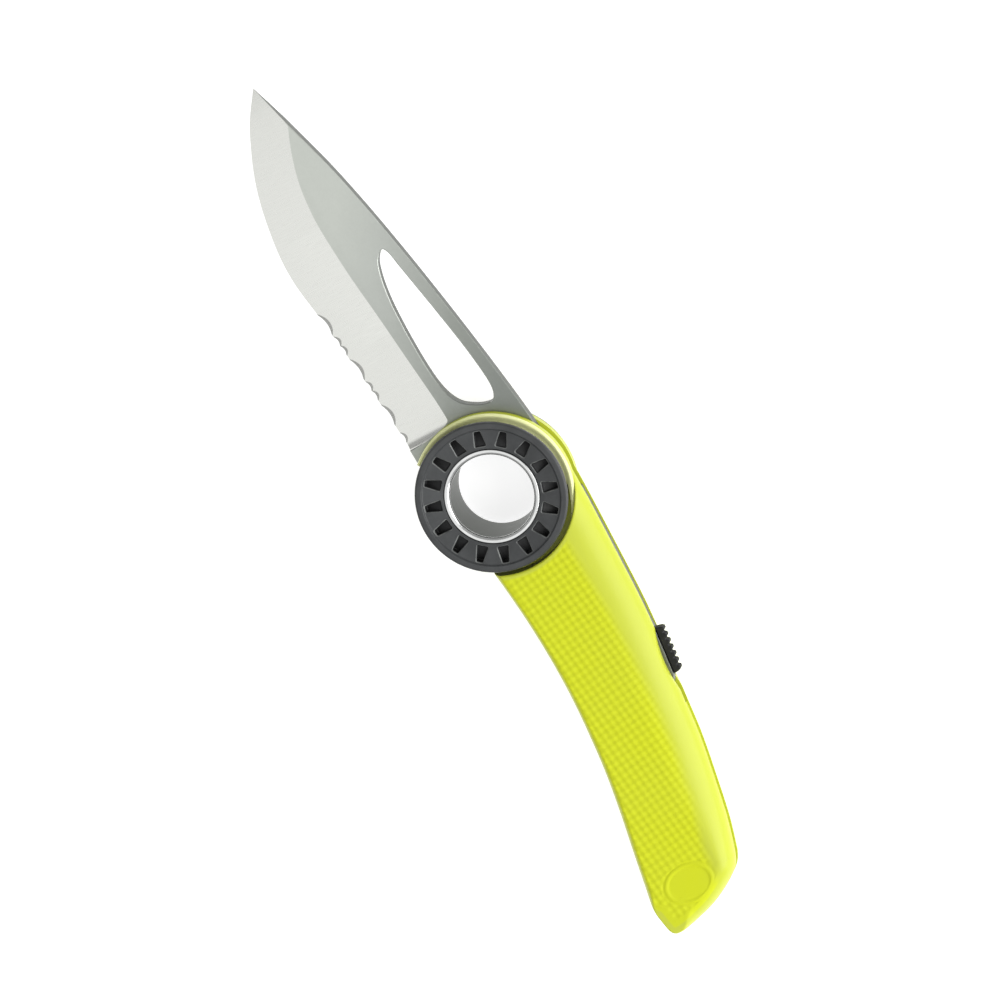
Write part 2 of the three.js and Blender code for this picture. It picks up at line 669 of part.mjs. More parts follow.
place("blade", blade(), groundSteel);
place("pivot_tube", pivotTube(), polishedSteel);
place("tube_collar", tubeCollar(), polishedSteel);
place("front_wheel", thumbWheel(), blackNylon);
place("rear_wheel", mirrored(thumbWheel()), blackNylon);
drivePlaces().forEach((spot, i) => place(`drive_pin_${i + 1}`, drivePin(spot), plainSteel));

place("lock_lever", lockLever(), plainSteel);
place("thumb_pad", thumbPad(), blackRubber);
PAD_RIVETS.forEach((spot, i) => place(`pad_rivet_${i + 1}`, padRivet(spot), plainSteel));

// The origin is under the middle of the knife, on the plane that it lies on.
const box = new THREE.Box3().setFromObject(knife);
const middle = box.getCenter(new THREE.Vector3());
knife.position.set(-middle.x, -middle.y, -box.min.z);

export default knife;
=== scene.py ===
"""A folding rigging knife, open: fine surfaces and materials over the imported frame.

The geometry code works in millimetres round the pivot axis, with Z = 0 in the middle of the blade.
settle() turns a finished mesh into the frame's metres.
"""
import json
import math

import bmesh
import bpy
import numpy as np
from mathutils import Matrix, Vector


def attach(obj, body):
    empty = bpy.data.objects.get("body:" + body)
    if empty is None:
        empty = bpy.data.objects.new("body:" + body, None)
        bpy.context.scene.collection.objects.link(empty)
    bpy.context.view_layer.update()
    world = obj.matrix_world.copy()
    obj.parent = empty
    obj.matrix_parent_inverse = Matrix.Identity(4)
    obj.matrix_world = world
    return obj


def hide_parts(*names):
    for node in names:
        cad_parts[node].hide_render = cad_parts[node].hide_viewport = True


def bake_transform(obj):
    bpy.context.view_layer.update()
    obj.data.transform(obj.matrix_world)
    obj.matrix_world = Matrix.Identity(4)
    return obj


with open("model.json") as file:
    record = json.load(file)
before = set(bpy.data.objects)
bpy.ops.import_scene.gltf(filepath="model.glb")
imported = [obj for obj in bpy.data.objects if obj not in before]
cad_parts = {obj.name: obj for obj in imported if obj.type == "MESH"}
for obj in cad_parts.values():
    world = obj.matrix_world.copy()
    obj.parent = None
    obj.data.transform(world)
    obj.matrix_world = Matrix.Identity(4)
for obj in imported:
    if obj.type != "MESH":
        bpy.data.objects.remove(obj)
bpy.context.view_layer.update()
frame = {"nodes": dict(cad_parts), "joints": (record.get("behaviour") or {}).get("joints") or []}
nodes = frame["nodes"]
joints = {joint["name"]: joint for joint in frame["joints"]}

MM = 0.001
PIVOT = Vector(joints["blade_fold"]["pos_m"]) / MM
TAU = math.tau
CREASE = 32

# ------------------------------------------------------------------ dimensions shared with the CAD

BLADE_HALF = 1.25
SLOT_HALF = 1.4
HEAD_TOP = 3.7
HEAD_FLOOR = 3.05
HANDLE_TOP = 5.8
WHEEL_BOTTOM = 4.0
WHEEL_TOP = 7.0
TUBE_HALF = 6.0
TUBE_BORE = 8.1
TUBE_RADIUS = 8.6
FLANGE_RADIUS = 9.2
FLANGE_THICKNESS = 0.6
RING_BORE = 8.75
DRIVE_CIRCLE = 10.1
HUB_RADIUS = 11.4
TANG_RADIUS = 13.9
WHEEL_RADIUS = 14.85
HEAD_RADIUS = 15.7
RECESS_RADIUS = 15.8
THUMB_CUT_RADIUS = 14.2
FOLD_ANGLE = math.radians(174)
LEVER_TRAVEL = math.radians(4.4)
THUMB_CUT = math.radians(40), math.radians(146)
DISC_BORE = 3
LEVER_PIN = (-34.0, -10.9)
LEVER_PIN_RADIUS, LEVER_PIN_HALF = 1.25, 3.2
DRIVE_PIN_RADIUS, DRIVE_PIN_HALF = 0.75, 3.5
SPACER_PINS = [(-57, -8.95), (-66, -7.35), (-76.5, -4.95)]
SPACER_PIN_RADIUS, SPACER_PIN_HALF = 0.7, 2.4
PAD_RIVETS = [-40.4, -45.4]
PAD_RIVET_RADIUS = 0.55
WASHER_OUTER, WASHER_HIGH = 13.2, 1.6
BUTT_SCREW = (-85.0, 1.2)
BUTT_SCREW_SHANK = 1
SCREW_HEAD_RADIUS, SCREW_HEAD_FLOOR, SCREW_HEAD_RECESS = 1.75, 3.9, 0.45
SCREW_TIP = 3.4
SOCKET_RADIUS, SOCKET_DEPTH = 0.85, 0.9
INSERT_RADIUS, INSERT_TOP = 1.9, 4.3
LOCK_GAP = 0.25
FIT = 0.1
LOOSE = 0.15

# ------------------------------------------------------------------ camera

def look():
    """The camera: nearly overhead, leaning a little to the spine's side, with the blade up and left."""
    right = Vector((-0.5098156, -0.8486764, -0.1408419))
    back = Vector((0.1366475, -0.2415237, 0.9607256)).normalized()
    up = back.cross(right).normalized()
    right = up.cross(back)
    distance = 2.0
    view_width = 0.1918
    pivot_left, pivot_above = 0.747, 2.066
    centre = (PIVOT + right * pivot_left - up * pivot_above) * MM
    data = bpy.data.cameras.new("camera")
    data.sensor_width = 36
    data.lens = data.sensor_width * distance / view_width
    data.clip_end = 50
    camera = bpy.data.objects.new("camera", data)
    turn = Matrix((right, up, back)).transposed().to_4x4()
    camera.matrix_world = Matrix.Translation(centre + back * distance) @ turn
    bpy.context.scene.collection.objects.link(camera)
    bpy.context.scene.camera = camera


look()

# ------------------------------------------------------------------ meshes

def raw(name, points, faces):
    mesh = bpy.data.meshes.new(name)
    mesh.from_pydata([tuple(map(float, point)) for point in points], [], faces)
    mesh.update()
    obj = bpy.data.objects.new(name, mesh)
    bpy.context.scene.collection.objects.link(obj)
    return obj


def loft(name, rings, ring_closed=False):
    """A closed skin through rings of points. The ends are capped, or joined if ring_closed."""
    rings = np.asarray(rings, float)
    count, size = rings.shape[:2]
    faces = []
    for i in range(count if ring_closed else count - 1):
        a, b = i * size, ((i + 1) % count) * size
        for j in range(size):
            k = (j + 1) % size
            faces.append((a + j, a + k, b + k, b + j))
    if not ring_closed:
        faces.append(tuple(reversed(range(size))))
        faces.append(tuple(range((count - 1) * size, count * size)))
    obj = raw(name, rings.reshape(-1, 3), faces)
    outward(obj)
    return obj


def outward(obj):
    work = bmesh.new()
    work.from_mesh(obj.data)
    bmesh.ops.recalc_face_normals(work, faces=work.faces)
    work.to_mesh(obj.data)
    work.free()


def lathe(name, profile, sides):
    """A closed profile of (radius, height) points turned about the Z axis."""
    profile = np.asarray(profile, float)
    rings = []
    for turn in np.arange(sides) * TAU / sides:
        x, y = profile[:, 0] * math.cos(turn), profile[:, 0] * math.sin(turn)
        rings.append(np.column_stack([x, y, profile[:, 1]]))
    return loft(name, rings, ring_closed=True)


def circle(radius, x, y, sides):
    turn = np.arange(sides) * TAU / sides
    return np.column_stack([x + radius * np.cos(turn), y + radius * np.sin(turn)])


def post(radius, low, high, x=0.0, y=0.0, sides=48):
    return stack([(circle(radius, x, y, sides), low), (circle(radius, x, y, sides), high)])


def stack(levels, name="cutter"):
    """A solid through flat outlines that all have the same count, each (points, height or heights)."""
    rings = []
    for points, height in levels:
        points = np.asarray(points, float)
        rings.append(np.column_stack([points, np.broadcast_to(height, len(points))]))
    return loft(name, rings)


def bar(radius, start, end, sides):
    """A round bar between two points."""
    start, end = np.asarray(start, float), np.asarray(end, float)
    along = (end - start) / np.linalg.norm(end - start)
    side = np.cross(along, (1.0, 0, 0) if abs(along[0]) < 0.9 else (0, 1.0, 0))
    side /= np.linalg.norm(side)
    other = np.cross(along, side)
    turn = np.arange(sides)[:, None] * TAU / sides
    ring = radius * (np.cos(turn) * side + np.sin(turn) * other)
    return loft("bar", [start + ring, end + ring])


def slab(outline, half, edge, name):
    """A flat plate with its edges broken."""
    outline = counterclockwise(outline)
    small = offset(outline, -edge)
    return stack([(small, -half), (outline, edge - half), (outline, half - edge), (small, half)], name)


def combine(obj, others, operation):
    for other in others:
        modifier = obj.modifiers.new("combine", "BOOLEAN")
        modifier.operation = operation
        modifier.solver = "MANIFOLD"
        modifier.object = other
    bake_modifiers(obj)
    for other in others:
        mesh = other.data
        bpy.data.objects.remove(other)
        bpy.data.meshes.remove(mesh)


def cut(obj, *others):
    combine(obj, others, "DIFFERENCE")


def join(obj, *others):
    combine(obj, others, "UNION")


def bake_modifiers(obj):
    done = obj.evaluated_get(bpy.context.evaluated_depsgraph_get())
    mesh = bpy.data.meshes.new_from_object(done)
    old = obj.data
    obj.modifiers.clear()
    obj.data = mesh
    bpy.data.meshes.remove(old)


def mirror_z(obj):
    obj.data.transform(Matrix.Scale(-1, 4, Vector((0, 0, 1))))
    obj.data.flip_normals()


def copy_of(obj, name):
    other = bpy.data.objects.new(name, obj.data.copy())
    bpy.context.scene.collection.objects.link(other)
    return other


def settle(obj, body, finish, slot, *replaced, crease=CREASE):
    """A finished mesh in millimetres becomes a piece: in metres, shaded, and on its body if it has one."""
    obj.data.transform(Matrix.Scale(MM, 4) @ Matrix.Translation(PIVOT))
    obj.data.shade_smooth()
    obj.data.set_sharp_from_angle(angle=math.radians(crease))
    obj.data.materials.clear()
    obj.data.materials.append(finish)
    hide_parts(*replaced)
    if body:
        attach(obj, body)


# ------------------------------------------------------------------ curves

def spline(points, steps):
    """A Catmull-Rom curve through the points, the same one that the CAD draws."""
    points = np.asarray(points, float)
    last = len(points) - 1
    place = np.linspace(0, last, steps + 1)
    i = np.minimum(place.astype(int), last - 1)
    w = (place - i)[:, None]
    p0, p1 = points[np.maximum(i - 1, 0)], points[i]
    p2, p3 = points[i + 1], points[np.minimum(i + 2, last)]
    v0, v1 = (p2 - p0) / 2, (p3 - p1) / 2
    return (2 * p1 - 2 * p2 + v0 + v1) * w**3 + (-3 * p1 + 3 * p2 - 2 * v0 - v1) * w**2 + v0 * w + p1


def closed_spline(points, steps):
    points = np.asarray(points, float)
    looped = np.vstack([points[-1:], points, points[:2]])
    each = max(2, steps // len(points))
    whole = spline(looped, each * (len(looped) - 1))
    return whole[each:-each][: each * len(points)]


def at_lengths(curve, shares):
    """Points along a polyline at shares of its length."""
    steps = np.linalg.norm(np.diff(curve, axis=0), axis=1)
    along = np.concatenate([[0], np.cumsum(steps)])
    want = np.asarray(shares) * along[-1]
    return np.column_stack([np.interp(want, along, curve[:, k]) for k in range(curve.shape[1])])


def offset(points, distance):
    """A closed outline moved sideways: outwards if it is counterclockwise and distance is positive."""
    along = np.roll(points, -1, axis=0) - np.roll(points, 1, axis=0)
    along /= np.linalg.norm(along, axis=1)[:, None]
    return points + distance * np.column_stack([along[:, 1], -along[:, 0]])


def soften(corners, steps=4):
    """An outline of (x, y, setback) corners. A corner with a setback is rounded from that far each side."""
    places = [np.array(corner[:2], float) for corner in corners]
    done = []
    for i, corner in enumerate(corners):
        here, before, after = places[i], places[i - 1], places[(i + 1) % len(corners)]
        back = corner[2] if len(corner) > 2 else 0
        if not back:
            done.append(here)
            continue
        first = here + (before - here) * back / np.linalg.norm(before - here)
        last = here + (after - here) * back / np.linalg.norm(after - here)
        for s in np.linspace(0, 1, steps + 1):
            done.append((1 - s) ** 2 * first + 2 * s * (1 - s) * here + s * s * last)
    return np.array(done)


def counterclockwise(points):
    x, y = points[:, 0], points[:, 1]
    area = np.sum(x * np.roll(y, -1) - y * np.roll(x, -1)) / 2
    return points if area > 0 else points[::-1]


def smoothstep(value, low, high):
    t = np.clip((value - low) / (high - low), 0, 1)
    return t * t * (3 - 2 * t)


def line_at(curve, x):
    order = np.argsort(curve[:, 0])
    return np.interp(x, curve[order, 0], curve[order, 1])


# ------------------------------------------------------------------ materials

def srgb(red, green, blue):
    """8-bit display colour to the linear colour that a shader takes."""
    def linear(value):
        value /= 255
        return value / 12.92 if value <= 0.04045 else ((value + 0.055) / 1.055) ** 2.4
    return (linear(red), linear(green), linear(blue), 1.0)


class Finish:
    """A Principled material with short ways to add procedural detail. Scales are features a metre."""

    def __init__(self, name, colour, **settings):
        self.material = bpy.data.materials.new(name)
        self.material.use_nodes = True
        self.tree = self.material.node_tree
        self.shader = self.tree.nodes["Principled BSDF"]
        self.shader.inputs["Base Color"].default_value = colour
        for key, value in settings.items():
            self.shader.inputs[key.replace("_", " ").title().replace("Ior", "IOR")].default_value = value
        self.where = self.tree.nodes.new("ShaderNodeTexCoord").outputs["Object"]

    def node(self, kind, **settings):
        made = self.tree.nodes.new(kind)
        for key, value in settings.items():
            if key in made.inputs:
                made.inputs[key].default_value = value
            else:
                setattr(made, key, value)
        return made

    def link(self, source, target):
        self.tree.links.new(source, target)

    def stretched(self, scale, turn=0.0):
        mapping = self.node("ShaderNodeMapping")
        mapping.inputs["Scale"].default_value = scale
        mapping.inputs["Rotation"].default_value = (0, 0, turn)
        self.link(self.where, mapping.inputs["Vector"])
        return mapping.outputs["Vector"]

    def noise(self, scale, detail, rough=0.55, where=None):
        made = self.node("ShaderNodeTexNoise")
        made.inputs["Scale"].default_value = scale
        made.inputs["Detail"].default_value = detail
        made.inputs["Roughness"].default_value = rough
        self.link(where or self.where, made.inputs["Vector"])
        return made.outputs["Fac"]

    def spread(self, source, low, high, from_low=0.3, from_high=0.7):
        made = self.node("ShaderNodeMapRange")
        limits = {"From Min": from_low, "From Max": from_high, "To Min": low, "To Max": high}
        for key, value in limits.items():
            made.inputs[key].default_value = value
        self.link(source, made.inputs["Value"])
        return made.outputs["Result"]

    def tint(self, source, first, second, low=0.3, high=0.7):
        ramp = self.node("ShaderNodeValToRGB")
        ramp.color_ramp.elements[0].position = low
        ramp.color_ramp.elements[0].color = first
        ramp.color_ramp.elements[1].position = high
        ramp.color_ramp.elements[1].color = second
        self.link(source, ramp.inputs["Fac"])
        self.link(ramp.outputs["Color"], self.shader.inputs["Base Color"])
        return ramp.color_ramp

    def roughness(self, source, low, high):
        self.link(self.spread(source, low, high), self.shader.inputs["Roughness"])

    def bump(self, source, distance, strength):
        made = self.node("ShaderNodeBump")
        made.inputs["Strength"].default_value = strength
        made.inputs["Distance"].default_value = distance
        self.link(source, made.inputs["Height"])
        self.link(made.outputs["Normal"], self.shader.inputs["Normal"])


def lime_nylon():
    """The handle's nylon: satin where it is smooth and duller on the textured face. The smooth parts are
    tinted paler than the textured face as a painted sheen.
    """
    finish = Finish("lime nylon", srgb(206, 215, 24), roughness=0.4, specular_ior_level=0.4)
    textured = finish.node("ShaderNodeAttribute", attribute_name="textured").outputs["Fac"]
    shade = finish.node("ShaderNodeMath", operation="MULTIPLY_ADD")
    finish.link(finish.noise(100, 4), shade.inputs[0])
    shade.inputs[1].default_value = 0.3
    finish.link(finish.spread(textured, 0, 0.7, 0, 1), shade.inputs[2])
    # the paler tint of the smooth parts is a painted sheen
    finish.tint(shade.outputs[0], srgb(200, 209, 62), srgb(213, 222, 3), 0.05, 0.95)
    gloss = finish.node("ShaderNodeMath", operation="MULTIPLY_ADD")
    finish.link(finish.noise(900, 3), gloss.inputs[0])
    gloss.inputs[1].default_value = 0.14
    finish.link(finish.spread(textured, 0.27, 0.53, 0, 1), gloss.inputs[2])
    finish.link(gloss.outputs[0], finish.shader.inputs["Roughness"])
    finish.bump(finish.noise(5600, 2, 0.6), 0.00002, 0.35)
    return finish.material


def lime_painted_highlight():
    """The thin raised edge round the head, its top painted pale as a highlight."""
    finish = Finish("lime nylon painted highlight", srgb(249, 253, 184), roughness=0.3, ior=1.5)
    finish.tint(finish.noise(120, 4), srgb(246, 250, 176), srgb(252, 255, 192))
    finish.roughness(finish.noise(900, 3), 0.26, 0.38)
    finish.bump(finish.noise(5200, 2, 0.6), 0.00002, 0.3)
    return finish.material


def black_nylon():
    finish = Finish("black nylon", srgb(58, 60, 61), roughness=0.36)
    finish.tint(finish.noise(260, 4), srgb(52, 54, 55), srgb(66, 68, 69))
    finish.roughness(finish.noise(1500, 3), 0.28, 0.42)
    finish.bump(finish.noise(4600, 2, 0.6), 0.00003, 0.5)
    return finish.material


def pocket_shade_nylon():
    """The wheels' pockets, left dull by the mould, and painted darker than the face as shade in the hollows.
    """
    finish = Finish("black nylon pocket shade", srgb(24, 25, 26), roughness=0.62)
    finish.tint(finish.noise(400, 4), srgb(20, 21, 22), srgb(30, 31, 32))
    finish.roughness(finish.noise(1500, 3), 0.56, 0.7)
    finish.bump(finish.noise(4600, 2, 0.6), 0.00003, 0.5)
    return finish.material


def painted_lip_highlight():
    """The lips of the pockets, painted pale as a highlight."""
    finish = Finish("black nylon lip highlight", srgb(104, 106, 105), roughness=0.34)
    finish.tint(finish.noise(700, 4), srgb(78, 80, 80), srgb(128, 130, 128))
    finish.roughness(finish.noise(1500, 3), 0.28, 0.42)
    finish.bump(finish.noise(4600, 2, 0.6), 0.00002, 0.4)
    return finish.material


def pad_rubber():
    finish = Finish("pad rubber", srgb(16, 17, 17), roughness=0.8)
    finish.tint(finish.noise(500, 4), srgb(12, 13, 13), srgb(22, 23, 23))
    finish.roughness(finish.noise(1800, 3), 0.7, 0.86)
    finish.bump(finish.noise(6000, 2, 0.6), 0.00003, 0.6)
    return finish.material


def blasted_steel():
    """The flats of the blade: an even matt grey, with a painted shade that darkens it towards the tang."""
    finish = Finish("blasted steel", srgb(196, 198, 194), metallic=1.0, roughness=0.42)
    slant = finish.node("ShaderNodeVectorMath", operation="DOT_PRODUCT")
    finish.link(finish.where, slant.inputs[0])
    slant.inputs[1].default_value = (1, 1.3, 0)
    cloud = finish.node("ShaderNodeMath", operation="MULTIPLY_ADD")
    finish.link(finish.noise(160, 5), cloud.inputs[0])
    cloud.inputs[1].default_value = 0.1
    finish.link(finish.spread(slant.outputs["Value"], 0, 1, 0, 0.065), cloud.inputs[2])
    # the ramp darkens the flats towards the tang as painted shade
    fade = finish.tint(cloud.outputs[0], srgb(140, 144, 139), srgb(203, 207, 200), 0.1, 1.0)
    for place, shade in ((0.33, 154), (0.52, 172), (0.78, 192)):
        fade.elements.new(place).color = srgb(shade, shade + 4, shade - 2)
    finish.roughness(finish.noise(2500, 3), 0.38, 0.48)
    finish.bump(finish.noise(9000, 2, 0.7), 0.000012, 0.5)
    return finish.material


def ground_steel():
    """The ground bevels, with fine wheel marks that run across the blade."""
    finish = Finish("ground steel", srgb(227, 228, 223), metallic=1.0, roughness=0.3)
    marks = finish.noise(1.0, 4, 0.6, finish.stretched((9000, 260, 260), math.radians(4)))
    finish.tint(marks, srgb(219, 220, 215), srgb(235, 236, 231))
    finish.roughness(marks, 0.24, 0.36)
    finish.bump(marks, 0.000006, 0.6)
    return finish.material


def turned_steel():
    """The tube and its collar: bright, with faint rings from the lathe."""
    finish = Finish("turned steel", srgb(224, 225, 224), metallic=1.0, roughness=0.16)
    rings = finish.noise(1.0, 3, 0.5, finish.stretched((120, 120, 9000)))
    finish.tint(finish.noise(200, 4), srgb(214, 215, 214), srgb(232, 233, 232))
    finish.roughness(rings, 0.12, 0.24)
    finish.bump(rings, 0.000006, 0.5)
    return finish.material


def edge_steel():
    """The narrow walls round the blade and its window, left as they were cut, and painted dark as shade."""
    finish = Finish("blade wall painted shade", srgb(112, 114, 110), metallic=1.0, roughness=0.5)
    marks = finish.noise(1.0, 3, 0.5, finish.stretched((900, 900, 9000)))
    finish.tint(marks, srgb(98, 100, 96), srgb(124, 126, 122))
    finish.roughness(marks, 0.42, 0.58)
    finish.bump(marks, 0.000008, 0.5)
    return finish.material


def bore_steel():
    # The tube's bore, painted darker than the turned steel outside as shade inside the tube.
    finish = Finish("bore steel", srgb(90, 93, 88), metallic=1.0, roughness=0.4)
    rings = finish.noise(1.0, 3, 0.5, finish.stretched((200, 200, 7000)))
    finish.tint(rings, srgb(80, 83, 78), srgb(100, 103, 98))
    finish.roughness(rings, 0.34, 0.48)
    finish.bump(rings, 0.000006, 0.5)
    return finish.material


def plain_steel():
    finish = Finish("plain steel", srgb(176, 177, 174), metallic=1.0, roughness=0.34)
    marks = finish.noise(1.0, 4, 0.6, finish.stretched((400, 5000, 5000)))
    finish.tint(marks, srgb(164, 165, 162), srgb(188, 189, 186))
    finish.roughness(marks, 0.28, 0.42)
    finish.bump(marks, 0.000008, 0.5)
    return finish.material


def lever_steel():
    finish = Finish("lever steel", srgb(124, 127, 120), metallic=1.0, roughness=0.46)
    marks = finish.noise(1.0, 4, 0.6, finish.stretched((400, 5000, 5000)))
    finish.tint(marks, srgb(112, 115, 108), srgb(136, 139, 132))
    finish.roughness(marks, 0.4, 0.54)
    finish.bump(marks, 0.000008, 0.5)
    return finish.material


def soft_metal(name, dark, light):
    finish = Finish(name, light, metallic=1.0, roughness=0.38)
    finish.tint(finish.noise(420, 4), dark, light)
    finish.roughness(finish.noise(1600, 3), 0.3, 0.46)
    finish.bump(finish.noise(5200, 2), 0.00001, 0.4)
    return finish.material


BLADE_WALL_SHADE = edge_steel()
LIME = lime_nylon()
LIME_HIGHLIGHT = lime_painted_highlight()
BLACK = black_nylon()
POCKET_SHADE = pocket_shade_nylon()
PAINTED_LIP_HIGHLIGHT = painted_lip_highlight()
RUBBER = pad_rubber()
BLASTED = blasted_steel()
GROUND = ground_steel()
TURNED = turned_steel()
BORE = bore_steel()
STEEL = plain_steel()
LEVER_STEEL = lever_steel()
BRONZE = soft_metal("bronze", srgb(150, 116, 72), srgb(182, 144, 92))
BRASS = soft_metal("brass", srgb(184, 150, 70), srgb(208, 174, 88))


def keep(name, finish, bevel):
    """A CAD node that stays, with its edges broken and a material."""
    obj = nodes[name]
    obj.data.materials.clear()
    obj.data.materials.append(finish)
    modifier = obj.modifiers.new("broken edges", "BEVEL")
    modifier.width = bevel * MM
    modifier.segments = 2
    modifier.limit_method = "ANGLE"
    modifier.angle_limit = math.radians(CREASE)
    modifier.harden_normals = False


# ------------------------------------------------------------------ handle shells

HANDLE_SPINE = [
    (-84.5, -3.9), (-78, -6), (-70, -7.9), (-61, -9.8), (-52, -11.1), (-44, -12.35), (-36, -13.4),
    (-30, -13.95), (-20, -14.55), (-10, -15.1), (-2, -15.35),
]
HANDLE_BELLY = [
    (-13.2, 8.25), (-19, 7.8), (-26, 7.45), (-34, 7.4), (-42, 7.75), (-50, 8.55), (-58, 9.65),
    (-66, 11.2), (-74, 13), (-80, 14.3), (-84.5, 15.2), (-87.4, 15.25),
]
HANDLE_BUTT = [
    (-87.4, 15.25), (-90.65, 14.75), (-91.95, 14.1), (-92.5, 12.7), (-92.15, 9.6), (-90.95, 5.1),
    (-89.35, 1.5), (-87.5, -1.55), (-86.1, -3), (-84.5, -3.9),
]
PANEL_EDGE = [
    (-88, 0.6), (-85, -0.5), (-80, -1), (-75, -2.5), (-70, -4), (-60, -6), (-50, -7.5), (-40, -8.5),
    (-30, -9), (-10, -9.1),
]
SPINE_SHOULDER, BUTT_SHOULDER, CORNER_SHOULDER, BELLY_SHOULDER = 8.0, 3.4, 0.7, 1.7
SCOOP = (-48.6, -39.15, 28.0)
EDGE_ROUNDING = 0.35
TEXTURE_BORDER, TINT_BORDER = 2.7, 1.6
DOT_PITCH, DOT_TURN, DOT_HEIGHT, PANEL_DEPTH = 1.4, math.radians(4.8), 0.17, 0.12
OVAL = (-84.4, 6.0, 4.0, 5.3)
OVAL_RING = 0.15
GROOVE_START, GROOVE_FADE, GROOVE_END = THUMB_CUT[1], math.radians(212), math.radians(256)
GROOVE_INNER, GROOVE_FLOOR = 14.3, 1.9
LIP = [
    (DISC_BORE, SLOT_HALF), (HEAD_RADIUS, SLOT_HALF), (HEAD_RADIUS, 3.2), (15.62, 3.45), (15.47, 3.62),
    (15.25, HEAD_TOP), (15.05, 3.64), (14.8, 3.45), (14.5, 3.2), (14.2, HEAD_FLOOR), (DISC_BORE, HEAD_FLOOR),
]
TOUCH = 0.02
GRID_LENGTH, GRID_WIDTH = 78, 21
EVEN_LENGTH, EVEN_WIDTH = 76, 19.5
GRID_MIDDLE = (-50.0, 0.0)
GRID_SHRINK = 0.9992


def nearest(points, curve):
    """For each point, its distance to a polyline and how far along that it lies, as an index."""
    a, ab = curve[:-1], np.diff(curve, axis=0)
    length = np.sum(ab * ab, axis=1)
    best = np.empty(len(points))
    where = np.empty(len(points))
    for start in range(0, len(points), 4000):
        rest = points[start:start + 4000, None, :] - a[None]
        share = np.clip(np.sum(rest * ab, axis=2) / length, 0, 1)
        gap = np.linalg.norm(rest - share[..., None] * ab, axis=2)
        i = np.argmin(gap, axis=1)
        row = np.arange(len(i))
        best[start:start + 4000] = gap[row, i]
        where[start:start + 4000] = i + share[row, i]
    return best, where


def panel_share(points, border):
    """1 on the textured face of the handle, 0 on its smooth border, and between them on the step.

    The border is how far the smooth rim reaches in from the butt's edge.
    """
    x, y = points[:, 0], points[:, 1]
    floor = np.interp(x, *np.array(PANEL_EDGE).T)
    belly_gap, _ = nearest(points, spline(HANDLE_BELLY, 100))
    butt_gap, _ = nearest(points, spline(HANDLE_BUTT, 60))
    sides = smoothstep(y - floor, -0.4, 2.2) * smoothstep(belly_gap, 0.9, 1.2)
    return (sides * smoothstep(butt_gap, border, border + 0.3)
            * smoothstep(np.hypot(x, y) - RECESS_RADIUS, 0.7, 1.0))


def shoulder_height(points):
    """The height of the rounded handle over each point of its plan, before its texture."""
    spine, belly = spline(HANDLE_SPINE, 200), spline(HANDLE_BELLY, 200)
    butt = spline(HANDLE_BUTT, 120)
    edge = np.vstack([spine[::-1], butt[::-1][1:], belly[::-1][1:]])
    part = np.concatenate([np.zeros(len(spine)), np.ones(len(butt) - 1), np.full(len(belly) - 1, 2.0)])
    x, y = edge[:, 0], edge[:, 1]
    swell = smoothstep(x, -87, -66) * smoothstep(-x, 2, 14)
    spine_width = BUTT_SHOULDER + (SPINE_SHOULDER - BUTT_SHOULDER) * swell
    butt_width = BUTT_SHOULDER + (CORNER_SHOULDER - BUTT_SHOULDER) * smoothstep(y, 7, 12)
    belly_width = CORNER_SHOULDER + (BELLY_SHOULDER - CORNER_SHOULDER) * smoothstep(x, -86.6, -82)
    width = np.choose(part.astype(int), [spine_width, butt_width, belly_width])
    gap, where = nearest(points, edge)
    reach = np.interp(where, np.arange(len(edge)), width)
    share = np.clip(gap / reach, 0, 1)
    return SLOT_HALF + (HANDLE_TOP - SLOT_HALF) * np.sqrt(np.clip(1 - (1 - share) ** 2, 0, 1))


def shell_height(points):
    """The height of the handle's outer face over each point of its plan."""
    height = shoulder_height(points)
    x, y = points[:, 0], points[:, 1]
    panel = panel_share(points, TEXTURE_BORDER)
    oval = np.hypot((x - OVAL[0]) / OVAL[2], (y - OVAL[1]) / OVAL[3])
    head_gap = np.hypot(x, y) - RECESS_RADIUS
    a = (x * math.cos(DOT_TURN) + y * math.sin(DOT_TURN)) * TAU / DOT_PITCH
    b = (y * math.cos(DOT_TURN) - x * math.sin(DOT_TURN)) * TAU / DOT_PITCH
    dots = (2 + np.cos(a) + np.cos(b)) / 4
    dots *= smoothstep(oval, 1.02, 1.08)
    ring = smoothstep(oval, 0.78, 0.86) * smoothstep(-oval, -1.0, -0.92)
    height += panel * (DOT_HEIGHT * dots + OVAL_RING * ring - PANEL_DEPTH)
    scoop_gap = np.hypot(x - SCOOP[0], y - SCOOP[1]) - SCOOP[2]
    for edge_gap in (head_gap, scoop_gap):
        t = np.clip(1 - edge_gap / EDGE_ROUNDING, 0, 1)
        height -= EDGE_ROUNDING * (1 - np.sqrt(1 - t * t))
    return np.maximum(height, SLOT_HALF)


def shares(count, length, near):
    """Shares from 0 to 1, evenly spaced but for a fine millimetre at the end, or at both ends."""
    fine = np.array([0, 0.015, 0.05, 0.11, 0.19, 0.29, 0.42, 0.57, 0.75]) / length
    last_fine = 0.93 / length
    middle = np.linspace(last_fine, 1 - (last_fine if near == "both" else 0), count)
    if near == "both":
        return np.concatenate([fine, middle, 1 - fine[::-1]])
    return 1 - np.concatenate([fine, middle])[::-1]


